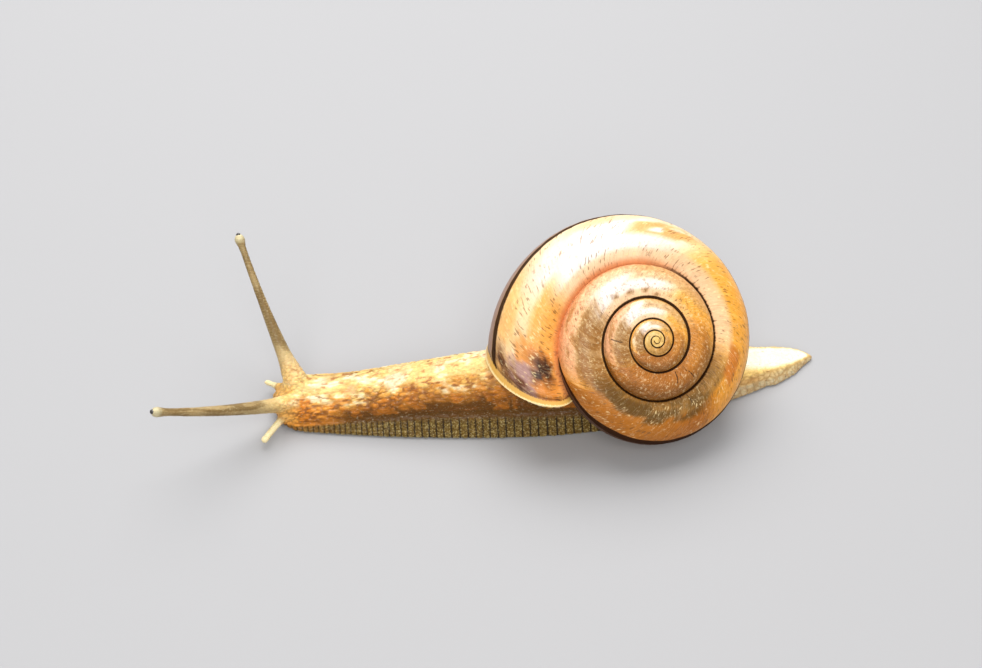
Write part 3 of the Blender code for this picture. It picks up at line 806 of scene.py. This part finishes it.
# ======== the skin
def join(name, parts):
    """One mesh object from several lists of points and faces."""
    points, faces, start = [], [], 0
    for p, f in parts:
        points.append(np.asarray(p, float))
        faces += [[i + start for i in face] for face in f]
        start += len(p)
    return mesh_object(name, np.concatenate(points), faces)


def relax(co, edges, amount, rounds):
    """Laplacian smoothing, by an amount for each point."""
    n = len(co)
    count = np.bincount(edges.ravel(), minlength=n).clip(1)[:, None]
    for _ in range(rounds):
        total = np.stack([np.bincount(edges[:, 0], co[edges[:, 1], k], n)
                          + np.bincount(edges[:, 1], co[edges[:, 0], k], n)
                          for k in range(3)], 1)
        co = co + amount[:, None] * (total / count - co)
    return co


def body_place(co):
    """How far along the body each point lies, and how far to the left of its middle line."""
    def from_line(along):
        return co[:, :2] - middle(along), heading(along)

    along = co[:, 0] - SNOUT[0]
    for _ in range(6):
        off, h = from_line(along)
        along = along + off[:, 0] * np.cos(h) + off[:, 1] * np.sin(h)
        along = np.clip(along, -2.5, BODY_LENGTH + 2.5)
    off, h = from_line(along)
    return along, off[:, 0] * np.sin(h) - off[:, 1] * np.cos(h)


def feeler_place(co, feeler):
    """Share of the feeler's length, and distance from its middle line, for each point."""
    t = np.linspace(0, 1, 61)
    line = feeler_line(feeler, t)
    d = np.linalg.norm(co[:, None, :] - line[None], axis=2)
    k = d.argmin(1)
    return t[k], d[np.arange(len(co)), k]


# in millimetres: the skin's mesh size, the depths of its relief, and those round the mouth
VOXEL = 0.19
WART, FINE_WART, RIDGE, SKIRT_GRAIN, FEELER_GRAIN = 0.1, 0.05, 0.15, 0.07, 0.035
LIPS, SLIT, CREASE = 0.34, 0.5, 0.34
stops = [0.0, 0.2, 0.45, 0.8, 1.2, 1.6, 2.1, 2.7, 3.4] + list(np.arange(4.2, 74.5, 0.8))
stops += [TAIL_ROUND + (TAIL_END - TAIL_ROUND) * k
          for k in (0, 0.25, 0.45, 0.62, 0.76, 0.87, 0.95, 0.99)]
skin = join("skin", [loft([body_ring(s) for s in stops])] + [feeler_tube(f) for f in FEELERS])
collar = mouth_piece("collar", COLLAR_WALL, COLLAR_REACH, steps=40, around=30)
bm = bmesh.new()
bm.from_mesh(skin.data)
bm.from_mesh(collar.data)
bm.to_mesh(skin.data)
bm.free()
bpy.data.objects.remove(collar, do_unlink=True)
remesh = skin.modifiers.new("remesh", "REMESH")
remesh.mode, remesh.voxel_size = "VOXEL", VOXEL
apply_modifiers(skin)

co = read(skin.data.vertices, "co")
edges = read(skin.data.edges, "vertices", 2, np.int32)
co = relax(co, edges, np.full(len(co), 0.5), 6)
along, side = body_place(co)
tips = [feeler_place(co, f) for f in FEELERS]
junction = window(along, -1.0, 6.5, 1.5) * smooth(co[:, 2], 1.0, 2.6)
for share, gap in tips[:2]:
    junction *= 1 - smooth(share, 0.18, 0.3) * (gap < 2.2)
co = relax(co, edges, 0.5 * junction, 14)
set_coords(skin.data, co)
along, side = body_place(co)

feeler = np.zeros(len(co))
for (share, gap), f in zip(tips, FEELERS):
    near = below(gap, f["root_r"] * 1.5, f["root_r"] * 2.0)
    start = 0.16 if f["root_r"] > 1 else 0.3
    feeler = np.maximum(feeler, smooth(share, start - 0.1, start + 0.12) * near)
z = co[:, 2]
high, skirt_top = (np.interp(along, LINE_S, blend(LINE_S, k)) for k in (3, 4))
rise = np.clip((z - skirt_top) / np.maximum(high - skirt_top, 0.5), -1, 1.3)
skirt = below(z, skirt_top * 0.74, skirt_top * 1.02)

# tubercles: long pads in rows on the neck, smaller on the head, a wide net on the tail
tail = smooth(along, 56, 62)
head = below(along, 5, 11)
long = 1.35 - 0.45 * head - 0.25 * tail
wide = 0.62 - 0.12 * head + 0.28 * tail
lean = 0.35 * tail
warp = np.stack([noise(co * 0.5, seed) for seed in (61, 62, 63)], 1) - 0.5
grid = np.stack([(along + lean * z * 2) / long, side / wide, (z - lean * along) / wide], 1)
border, who = cells(grid + warp * 0.8, 71)
pad = smooth(border, 0.0, 0.34)
fine_border, _ = cells(np.stack([along / 0.62, side / 0.34, z / 0.34], 1) + warp, 81)
fine = smooth(fine_border, 0.0, 0.4)
# upright grooves down the skirt
jitter = noise(np.stack([along / 3.0, np.sign(side) * 3.0], 1), 91) - 0.5
phase = np.interp(along, LINE_S, np.cumsum(0.1 / (0.74 + 0.34 * smooth(LINE_S, 12, 26))))
phase = phase + 0.35 * jitter + 0.04 * (z - 1.5)
ridge = below(np.abs(phase - np.round(phase)), 0.32, 0.44)
rows, grain_id = cells(np.stack([phase * 1.6, z / 0.42, side * 0.3], 1), 95, 0.8)
rows = smooth(rows, 0.0, 0.35)
body_amount = (1 - feeler) * below(along, BODY_LENGTH - 3, BODY_LENGTH) * (z > 0.05)
relief = (1 - skirt) * (WART * (pad - 0.6) + FINE_WART * (fine - 0.6)) * (1 - 0.35 * tail)
relief += skirt * (RIDGE * (ridge - 0.8) + SKIRT_GRAIN * (rows - 0.6)) * (1 - 0.6 * tail)
net = np.where(skirt > 0.5, 1 - ridge * (0.75 + 0.25 * rows), 1 - pad * (0.75 + 0.25 * fine))
feeler_grain = cells(co / 0.36, 101)[0]
relief = relief * body_amount + feeler * FEELER_GRAIN * (smooth(feeler_grain, 0, 0.4) - 0.6)
# the mouth: an upright slit between two lips, with a crease under it along the foot's front edge
face = below(along, 1.0, 2.4) * (1 - feeler)
slit = bell(side, 0.0, 0.17) * window(z, 1.35, 2.35, 0.3)
lips = bell(np.abs(side), 0.75, 0.55) * bell(z, 1.85, 0.6)
crease = bell(z, 1.0 + 0.03 * side ** 2, 0.17) * window(side, -3.0, 3.0, 0.8)
relief += face * (LIPS * lips - SLIT * slit - CREASE * crease)
normal = read(skin.data.vertices, "normal")
new = co + normal * relief[:, None]
sole = (co[:, 2] < 0.14) & (normal[:, 2] < -0.5)
new[sole] = co[sole]
new[:, 2] = np.maximum(new[:, 2], 0.0)
set_coords(skin.data, new)

mesh = skin.data
put(mesh, "along", along)
put(mesh, "side", side)
put(mesh, "phase", phase)
put(mesh, "skirt", skirt * (1 - 0.85 * tail) * smooth(along, 0, 5)
    * (0.5 + 0.5 * smooth(along, 7, 17)))


def skin_tint():
    cloud = fbm(co / 3.2, 111)
    slant = along + 0.8 * z
    patch = fbm(np.stack([slant / 2.4, side / 1.0, z / 1.0], 1), 121)
    fleck = fbm(np.stack([slant / 1.1, side / 0.36, z / 0.36], 1), 131, 2)
    trunk = 1 - tail
    front = below(along, 5.5, 12)
    # how light each place is, by the height up the flank, broken up pad by pad: partly the skin's
    # own colour, partly painted light over the top and painted shade down the flank
    calm = smooth(along, 14, 24)
    broken = 0.2 * (who - 0.5) + 0.7 * (patch - 0.5)
    level = rise + broken * window(rise, 0.26, 0.9, 0.16) * (1 - 0.45 * calm)
    # the far side stays pale further down: painted light on the side that faces the light
    far = smooth(side, -0.6, -2.2) * smooth(rise, 0.25, 0.6)
    level = level + 0.34 * far
    c = np.tile(np.array([238.0, 208, 132]), (len(co), 1))

    def paint(colour, amount):
        nonlocal c
        c = lay(c, colour, amount)

    # darker down the flank: partly the skin's colour, partly painted shade
    paint((220, 158, 70), trunk * below(level, 0.78, 1.0))
    paint((184, 116, 36), trunk * below(level, 0.58, 0.82))
    paint((104, 62, 6), trunk * below(level, 0.34, 0.6) * (1 - 0.5 * front))
    # near-white patches over the top: partly pale skin, partly painted highlight on the wet back
    paint((255, 246, 214), window(rise, 0.74, 1.3, 0.1) * smooth(patch, 0.52, 0.64) * trunk * 0.75)
    paint((240, 190, 158), smooth(rise, 0.72, 0.95) * trunk * smooth(cloud, 0.5, 0.62) * 0.4)
    # orange cheeks, paler at the very front
    low_face = window(along, -2.0, 7.0, 4.0) * below(rise, 0.62, 0.9) * (1 - 0.75 * far)
    paint((246, 160, 58), low_face * 0.95)
    paint((196, 118, 32), low_face * below(rise, 0.1, 0.4) * smooth(along, 2, 7) * 0.8)
    # orange-brown patches over the flank, and dark flecks between the pads
    mid = window(rise, 0.18, 0.84, 0.16) * trunk * (1 - 0.8 * far)
    paint((216, 128, 34), mid * smooth(fbm(co / 1.5, 161), 0.5, 0.62) * (0.6 + 0.4 * front))
    paint((136, 78, 26), window(rise, 0.1, 0.9, 0.12) * trunk * smooth(fleck, 0.62, 0.7) * 0.75)
    paint((190, 118, 66), smooth(rise, 0.86, 0.96) * trunk * smooth(fleck, 0.67, 0.73) * 0.6)
    paint((96, 52, 18), mid * (1 - pad) * smooth(patch, 0.58, 0.44) * (0.55 - 0.35 * calm))
    paint((250, 204, 122), below(along, 1.4, 4.4) * smooth(rise, -0.15, 0.3) * 0.68)
    # painted shade in the mouth's slit and the crease under it
    paint((120, 62, 24), face * np.clip(slit + 0.7 * crease, 0, 1) * 0.9)
    # darker along the top of the skirt and the groove above it: painted shade
    edge = window(z / skirt_top, 0.86, 1.22, 0.1) * smooth(along, 8, 15)
    paint((92, 58, 10), edge * trunk * 0.8)
    # skirt: dull olive brown in small grains, orange towards the head
    paint((108, 84, 28), skirt * trunk * 0.95)
    paint((164, 104, 34), skirt * below(along, 2, 11) * 0.85)
    # pale grains: partly the skin's own grain, partly painted wet glints
    paint((150, 126, 66), skirt * trunk * smooth(grain_id, 0.62, 0.9) * rows * 0.35)
    paint((76, 56, 26), skirt * trunk * below(grain_id, 0.08, 0.34) * 0.35)
    # pale along the lower edge of the ridges: painted wet glints
    paint((176, 168, 138), window(z, -1, 0.34, 0.16) * skirt * trunk * ridge * 0.6)
    # tail: white over the top, partly pale skin and partly painted highlight, cream and then tan
    # lower down, with a net of oblique scales
    paint((238, 202, 122), tail * 0.95)
    paint((246, 240, 214), tail * smooth(rise + 0.16 * smooth(along, 63, 70), 0.8, 1.04))
    paint((212, 168, 104), tail * below(rise, 0.2, 0.64) * below(along, 66, 73))
    paint((206, 188, 150), tail * below(rise, 0.25, 0.9) * smooth(along, 65, 72) * 0.8)
    paint((196, 180, 146), tail * skirt * 0.8)
    paint((158, 112, 58), tail * (1 - pad) * below(rise, 0.45, 0.9) * 0.45)
    # feelers: cream at the root, then olive beige with brown streaks along them
    paint((160, 138, 96), feeler * 0.95)
    for (share, gap), f in zip(tips[:2], FEELERS):
        here = feeler * (gap < 2.4) * (share > 0.05)
        off = co - feeler_line(f, share)
        turn = np.arctan2(off[:, 2], off[:, 1])
        lines = fbm(np.stack([np.cos(turn) * 1.6, np.sin(turn) * 1.6, share * 7], 1), 151)
        paint((104, 82, 46), here * smooth(lines, 0.46, 0.6) * 0.65)
        paint((232, 210, 156), here * below(share, 0.1, 0.32) * 0.8)
        paint((206, 198, 162), here * smooth(share, 0.93, 0.965) * 0.8)
    low = np.maximum(*((gap < 0.9) * smooth(share, 0.2, 0.4) for share, gap in tips[2:]))
    paint((240, 222, 172), feeler * low)
    c *= (0.94 + 0.12 * cloud)[:, None]
    paint((60, 38, 14), net * (1 - feeler) * (0.22 - 0.08 * (tail + calm) + 0.5 * skirt * trunk))
    return c


put(mesh, "tint", skin_tint(), "FLOAT_COLOR")


def skin_material():
    m = Nodes("snail_skin")
    position = m.position()
    height = m.node("ShaderNodeSeparateXYZ", {0: position}).outputs[2]
    local = m.vector(m.attribute("along"), m.times(m.attribute("side"), 2.2),
                     m.times(height, 2200.0))
    colour = m.attribute("tint", "Color")

    def paint(where, share, over):
        nonlocal colour
        colour = m.mix(m.times(where, share), colour, over)

    grain = m.noise(local, scale=2.6, detail=3, rough=0.6)
    spots = m.noise(local, scale=1.5, rough=0.55)
    paint(m.step(grain, 0.46, 0.7), 0.22, (0.2, 0.09, 0.02))
    paint(m.step(grain, 0.46, 0.28), 0.2, (1.0, 0.86, 0.56))
    paint(m.step(spots, 0.66, 0.74), 0.45, (0.14, 0.055, 0.015))
    # the skirt: pale grains, partly painted wet glints, dark grains, and thin dark lines down its
    # grooves
    low, grit = m.attribute("skirt"), m.noise(position, scale=4200.0, rough=0.6)
    paint(m.times(m.step(grit, 0.54, 0.62), low), 0.48, (0.5, 0.4, 0.16))
    paint(m.times(m.step(grit, 0.46, 0.38), low), 0.5, (0.035, 0.022, 0.006))
    off = m.math("ABSOLUTE", m.minus(m.math("FRACT", m.attribute("phase")), 0.5))
    off = m.plus(off, m.times(m.minus(grit, 0.5), 0.1))
    paint(m.times(m.step(off, 0.12, 0.05), low), 0.9, (0.022, 0.013, 0.004))
    m.set(Base_Color=colour)
    fine = m.noise(position, scale=3000.0, detail=3, rough=0.6)
    m.set(Normal=m.bump(m.scaled(fine, 0.5, grain), 0.00006, 0.9))
    m.set(Roughness=m.scaled(spots, 0.18, 0.26))
    m.set(Specular_IOR_Level=0.15, Coat_Weight=0.07, Coat_Roughness=0.1)
    m.set(Subsurface_Weight=0.12, Subsurface_Radius=(1.0, 0.5, 0.25), Subsurface_Scale=0.0008)
    return m.material


skin.data.materials.clear()
skin.data.materials.append(skin_material())
# the flesh ends just under the shell's outer surface, and goes on through the mouth
points, faces, _ = shell_mesh(48, [106, 92, 76, 60, 44, 28, 12, 0],
                              [-22, -46, -70, -94, -122, UMBILICUS_ANGLE], grow=-0.12)
room = mesh_object("room", points, faces)
combine(room, mouth_piece("hole", HOLE_WALL, HOLE_REACH, steps=40, around=30), "DIFFERENCE")
combine(skin, room, "DIFFERENCE")
to_frame(skin)
skin.data.shade_smooth()
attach(skin, "root")
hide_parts("head", "neck", "foot", "tail", "mantle_collar",
            "upper_tentacle_left_base", "upper_tentacle_left_tip", "upper_tentacle_right_base",
            "upper_tentacle_right_tip", "lower_tentacle_left", "lower_tentacle_right")


# ======== the eyes
def eye_material():
    m = Nodes("snail_eye")
    shade = m.noise(m.position(), scale=1800.0)
    m.set(Base_Color=m.mix(shade, (0.01, 0.008, 0.007), (0.035, 0.026, 0.02)))
    m.set(Roughness=m.scaled(shade, 0.1, 0.12))
    m.set(Normal=m.bump(shade, 0.00001, 0.5))
    m.set(Coat_Weight=0.6, Coat_Roughness=0.05)
    return m.material


for name, f in (("left", UPPER_LEFT), ("right", UPPER_RIGHT)):
    aim = np.array(f["tip"]) - np.array(f["root"])
    aim /= np.linalg.norm(aim)
    spot = np.array(f["tip"]) - aim * EYE_DEPTH
    eye = mesh_object("eye_ball_" + name, *ball(spot, EYE_RADIUS, 28, 18))
    to_frame(eye)
    eye.data.shade_smooth()
    eye.data.materials.append(eye_material())
    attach(eye, "root")
    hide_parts("eye_" + name)

# ======== floor, light and camera
FLOOR_HALF, FLOOR_GAP = 3.0, 0.00005
floor = mesh_object("floor", [(x * FLOOR_HALF, y * FLOOR_HALF, 0)
                              for x, y in ((-1, -1), (1, -1), (1, 1), (-1, 1))], [(0, 1, 2, 3)])
floor.location.z = -FLOOR_GAP
pale = Nodes("floor_pale")
pale.set(Base_Color=(0.36, 0.36, 0.37), Roughness=0.8)
floor.data.materials.append(pale.material)

# a sky that darkens towards the horizon
HORIZON, ZENITH = 0.16, 0.8
world = bpy.data.worlds.new("soft")
SCENE.world = world
world.use_nodes = True
sky = world.node_tree
up = sky.nodes.new("ShaderNodeSeparateXYZ")
sky.links.new(sky.nodes.new("ShaderNodeTexCoord").outputs["Generated"], up.inputs[0])
ramp = sky.nodes.new("ShaderNodeMapRange")
sky.links.new(up.outputs[2], ramp.inputs[0])
ramp.inputs["To Min"].default_value, ramp.inputs["To Max"].default_value = HORIZON, ZENITH
sky.links.new(ramp.outputs[0], sky.nodes["Background"].inputs[1])
sky.nodes["Background"].inputs[0].default_value = (1.0, 0.98, 0.95, 1.0)


def soft_light(name, azimuth, elevation, distance, size, power):
    """A square light aimed at the snail; azimuth 0 is behind the camera, at -Y."""
    data = bpy.data.lights.new(name, "AREA")
    data.shape, data.size, data.energy = "SQUARE", size, power
    obj = put_in_scene(name, data)
    a, e = math.radians(azimuth), math.radians(elevation)
    d = np.array([math.sin(a) * math.cos(e), -math.cos(a) * math.cos(e), math.sin(e)])
    obj.location = d * distance
    obj.rotation_mode = "QUATERNION"
    obj.rotation_quaternion = Vector(d).to_track_quat("Z", "Y")


soft_light("sky", azimuth=190, elevation=62, distance=0.5, size=0.46, power=3.35)
soft_light("fill", azimuth=0, elevation=42, distance=0.6, size=0.4, power=2.1)

camera = bpy.data.cameras.new("camera")
camera.lens, camera.sensor_width, camera.clip_start = 50.0, 36.0, 0.01
view = put_in_scene("camera", camera)
CAMERA_ELEVATION, CAMERA_DISTANCE = math.radians(45), 0.2
aim = np.array([0, -math.cos(CAMERA_ELEVATION), math.sin(CAMERA_ELEVATION)])
view.location = -ORIGIN * MM + CAMERA_DISTANCE * aim
view.rotation_euler = (math.radians(90) - CAMERA_ELEVATION, 0, 0)
SCENE.camera = view
SCENE.view_settings.view_transform = "Standard"
